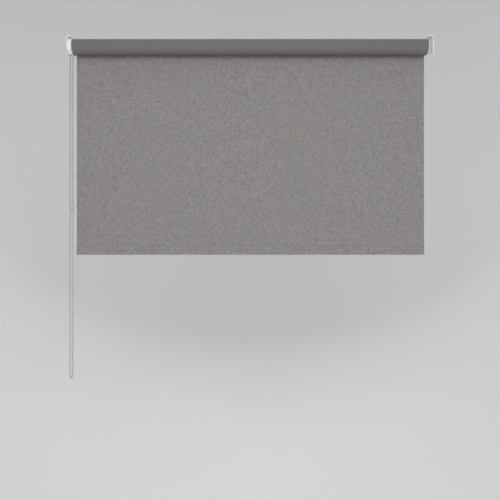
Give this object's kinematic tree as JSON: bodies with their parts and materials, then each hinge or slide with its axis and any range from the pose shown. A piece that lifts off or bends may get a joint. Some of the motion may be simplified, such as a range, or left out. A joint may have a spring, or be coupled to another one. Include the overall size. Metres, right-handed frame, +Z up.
{
  "type": "roller blind",
  "caption": "Chain-driven roller blind for a window recess: grey textured fabric off the back of the roll, white end brackets, side bead chain, weighted hem.",
  "frame": {"origin": "in the fixing plane under the lintel, midway between the outer faces of the two brackets and straight above the roller's axis", "axes": "+X along the roller from the control (chain) end to the idle end, -Y faces the room, +Z up"},
  "size_m": [1, 0.0464, 0.9391],
  "materials": {
    "white_paint": "white powder coat on pressed steel",
    "white_plastic": "white moulded plastic, half gloss",
    "grey_plastic": "grey moulded plastic",
    "spring_steel": "bright spring wire",
    "zinc_steel": "zinc plated",
    "aluminium": "mill finish extrusion",
    "fabric_face": "mid grey textured weave",
    "fabric_reverse": "smooth taupe blackout coating",
    "tape": "double-sided film tape",
    "chain_metal": "nickel plated bead chain"
  },
  "bodies": {
    "brackets": {"control_bracket": "white_paint", "idle_bracket": "white_paint", "control_housing": "white_plastic", "chain_guard": "white_plastic", "clutch_spindle": "grey_plastic", "spindle_clip": "spring_steel", "spindle_screw": "zinc_steel", "idle_bush": "white_plastic", "chain_wrap": "chain_metal", "chain_loop": "chain_metal"},
    "roller": {"roller_tube": "aluminium", "fabric_roll": "fabric_reverse", "fixing_tape": "tape", "drive_crown": "grey_plastic", "idle_plug": "white_plastic", "spring_seat": "grey_plastic", "pin_spring": "spring_steel"},
    "wheel": {"chain_wheel": "grey_plastic", "wrap_spring_outer": "spring_steel", "wrap_spring_inner": "spring_steel"},
    "pin": {"idle_pin": "white_plastic"},
    "hem": {"hem_pocket": "fabric_face", "hem_bar": "aluminium", "hem_cap_control": "grey_plastic", "hem_cap_idle": "grey_plastic", "fabric_drop": "fabric_face"},
    "connector": {"chain_connector": "chain_metal"}
  },
  "joints": [
    {"name": "roller_turn", "type": "hinge", "parent": "brackets", "child": "roller", "pos_m": [0, 0, -0.025], "axis": [1, 0, 0], "range_deg": [-1525, 1375]},
    {"name": "chain_wheel_turn", "type": "hinge", "parent": "brackets", "child": "wheel", "pos_m": [0, 0, -0.025], "axis": [1, 0, 0], "range_deg": [-1526, 1376]},
    {"name": "hem_travel", "type": "slide", "parent": "brackets", "child": "hem", "axis": [0, 0, 1], "range_m": [-0.578, 0.521], "deforming": ["fabric_drop"]},
    {"name": "connector_travel", "type": "slide", "parent": "brackets", "child": "connector", "axis": [0, 0, 1], "range_m": [-0.28, 0.2525]},
    {"name": "idle_pin_travel", "type": "slide", "parent": "roller", "child": "pin", "axis": [-1, 0, 0], "range_m": [0, 0.007], "stiffness_N_per_m": 300, "springref_m": -0.006, "deforming": ["pin_spring"]}
  ],
  "couplings": [
    {"joint": "chain_wheel_turn", "follows": "roller_turn", "ratio": 1},
    {"joint": "hem_travel", "follows": "roller_turn", "m_per_rad": 0.0217},
    {"joint": "connector_travel", "follows": "roller_turn", "m_per_rad": 0.010504}
  ]
}
